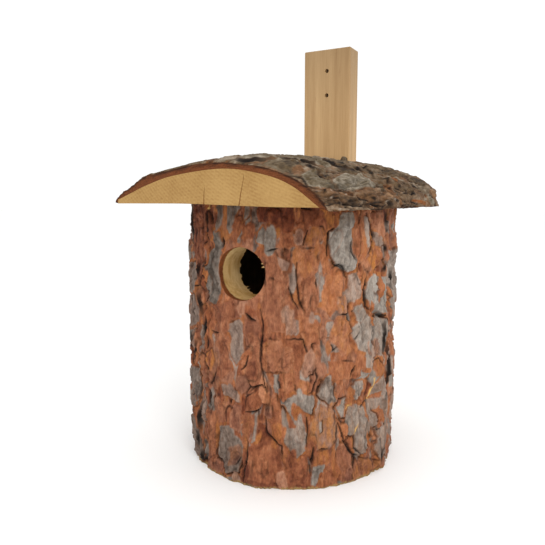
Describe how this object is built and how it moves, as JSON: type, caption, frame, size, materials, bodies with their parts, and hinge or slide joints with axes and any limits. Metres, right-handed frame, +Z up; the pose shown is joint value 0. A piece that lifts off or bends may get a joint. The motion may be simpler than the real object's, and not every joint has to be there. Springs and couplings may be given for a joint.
{
  "type": "log nest box",
  "caption": "Bird nest box made from a hollowed pine log in its bark, with a round entrance, a bark-covered slab roof and a hanging batten up the back.",
  "frame": {"origin": "centre of the log's foot, where the floor plug is flush with the log", "axes": "+Z up along the log, -Y towards the entrance, +Y towards the hanging batten, +X to the right seen from the front"},
  "size_m": [0.2183, 0.241, 0.379],
  "materials": {
    "log_wood": "bored pine sapwood, matt",
    "log_bark": "flaking red-brown and grey pine bark",
    "slab_wood": "sawn pine end grain, matt",
    "roof_bark": "thick plated grey-brown pine bark",
    "batten_wood": "planed softwood, matt",
    "screw_steel": "yellow zinc plated"
  },
  "bodies": {
    "root": {"log_wall": "log_wood", "log_bark": "log_bark", "floor_disc": "log_wood", "roof_slab": "slab_wood", "roof_bark": "roof_bark", "hanging_batten": "batten_wood", "batten_screw_lower": "screw_steel", "batten_screw_upper": "screw_steel", "roof_screw_left": "screw_steel", "roof_screw_right": "screw_steel", "floor_screw_left": "screw_steel", "floor_screw_right": "screw_steel"}
  },
  "joints": []
}
